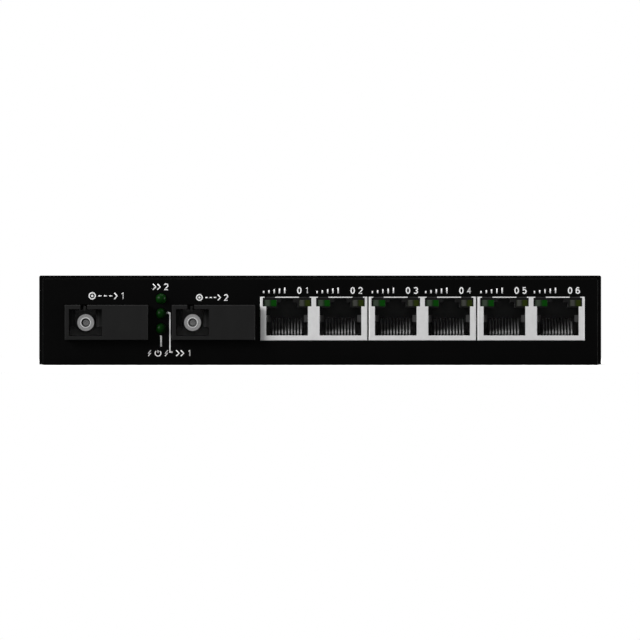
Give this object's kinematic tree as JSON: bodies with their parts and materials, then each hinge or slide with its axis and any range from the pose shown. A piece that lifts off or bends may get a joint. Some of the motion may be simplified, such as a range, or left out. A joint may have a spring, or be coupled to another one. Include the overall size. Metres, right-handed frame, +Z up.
{
  "type": "fibre network switch",
  "caption": "Compact desktop network switch in a black steel case, with fibre sockets, status lights and shielded copper ports at the front and a power inlet at the back.",
  "frame": {"origin": "middle of the underside, at the centre of the bounding box in plan", "axes": "+X to the right seen from the front, +Y from the front panel to the back, +Z up"},
  "size_m": [0.1602, 0.106, 0.0254],
  "materials": {
    "case_black": "fine powder coat, satin",
    "screw_black": "black oxide",
    "steel_plated": "nickel plated",
    "board_green": "solder mask",
    "fibre_plastic": "fine moulded texture",
    "clip_plastic": "moulded",
    "barrel_metal": "turned",
    "ferrule_ceramic": "polished",
    "pin_tin": "tin plated",
    "light_green": "clear tinted lens",
    "jack_plastic": "moulded",
    "shield_tin": "tin plated sheet",
    "lamp_green": "tinted lens",
    "lamp_yellow": "tinted lens",
    "contact_gold": "thin gold plating over nickel",
    "chip_black": "moulded",
    "can_aluminium": "drawn can"
  },
  "bodies": {
    "body": {"base_chassis": "case_black", "top_cover": "case_black", "cover_screws": "screw_black", "board_standoffs": "steel_plated", "board_screws": "steel_plated", "earth_screw": "steel_plated", "earth_washer": "steel_plated", "earth_nut": "steel_plated", "main_board": "board_green", "fibre_boards": "board_green", "fibre_housing_1": "fibre_plastic", "fibre_latch_clip_1": "clip_plastic", "fibre_barrel_1": "barrel_metal", "fibre_sleeve_1": "ferrule_ceramic", "fibre_stub_1": "ferrule_ceramic", "fibre_housing_2": "fibre_plastic", "fibre_latch_clip_2": "clip_plastic", "fibre_barrel_2": "barrel_metal", "fibre_sleeve_2": "ferrule_ceramic", "fibre_stub_2": "ferrule_ceramic", "fibre_optics": "barrel_metal", "fibre_pins": "pin_tin", "jack_pins": "pin_tin", "status_light_leads": "pin_tin", "inlet_leaf_tab": "pin_tin", "switch_chip_leads": "pin_tin", "inlet_pin": "pin_tin", "status_light_1": "light_green", "status_light_2": "light_green", "status_light_3": "light_green", "status_light_holder": "jack_plastic", "inlet_body": "jack_plastic", "contact_carriers": "jack_plastic", "jack_shield_1": "shield_tin", "jack_housing_1": "jack_plastic", "jack_green_lamps_1": "lamp_green", "jack_yellow_lamps_1": "lamp_yellow", "jack_shield_2": "shield_tin", "jack_housing_2": "jack_plastic", "jack_green_lamps_2": "lamp_green", "jack_yellow_lamps_2": "lamp_yellow", "jack_shield_3": "shield_tin", "jack_housing_3": "jack_plastic", "jack_green_lamps_3": "lamp_green", "jack_yellow_lamps_3": "lamp_yellow", "switch_chip": "chip_black", "port_transformers": "chip_black", "small_chips": "chip_black", "power_inductor": "chip_black", "chip_components": "chip_black", "clock_crystal": "can_aluminium", "capacitors": "can_aluminium"},
    "contacts_1": {"port_contacts_1": "contact_gold"},
    "contacts_2": {"port_contacts_2": "contact_gold"},
    "contacts_3": {"port_contacts_3": "contact_gold"},
    "contacts_4": {"port_contacts_4": "contact_gold"},
    "contacts_5": {"port_contacts_5": "contact_gold"},
    "contacts_6": {"port_contacts_6": "contact_gold"},
    "leaf": {"inlet_leaf": "pin_tin"}
  },
  "joints": [
    {"name": "contacts_1_press", "type": "hinge", "parent": "body", "child": "contacts_1", "pos_m": [-0.00943, -0.0471, 0.009], "axis": [-1, 0, 0], "range_deg": [0, 12], "stiffness_Nm_per_rad": 0.3},
    {"name": "contacts_2_press", "type": "hinge", "parent": "body", "child": "contacts_2", "pos_m": [0.00577, -0.0471, 0.009], "axis": [-1, 0, 0], "range_deg": [0, 12], "stiffness_Nm_per_rad": 0.3},
    {"name": "contacts_3_press", "type": "hinge", "parent": "body", "child": "contacts_3", "pos_m": [0.02151, -0.0471, 0.009], "axis": [-1, 0, 0], "range_deg": [0, 12], "stiffness_Nm_per_rad": 0.3},
    {"name": "contacts_4_press", "type": "hinge", "parent": "body", "child": "contacts_4", "pos_m": [0.03671, -0.0471, 0.009], "axis": [-1, 0, 0], "range_deg": [0, 12], "stiffness_Nm_per_rad": 0.3},
    {"name": "contacts_5_press", "type": "hinge", "parent": "body", "child": "contacts_5", "pos_m": [0.05245, -0.0471, 0.009], "axis": [-1, 0, 0], "range_deg": [0, 12], "stiffness_Nm_per_rad": 0.3},
    {"name": "contacts_6_press", "type": "hinge", "parent": "body", "child": "contacts_6", "pos_m": [0.06765, -0.0471, 0.009], "axis": [-1, 0, 0], "range_deg": [0, 12], "stiffness_Nm_per_rad": 0.3},
    {"name": "inlet_leaf_press", "type": "hinge", "parent": "body", "child": "leaf", "pos_m": [0.055, 0.0395, 0.009], "axis": [-1, 0, 0], "range_deg": [0, 5], "stiffness_Nm_per_rad": 0.1}
  ]
}
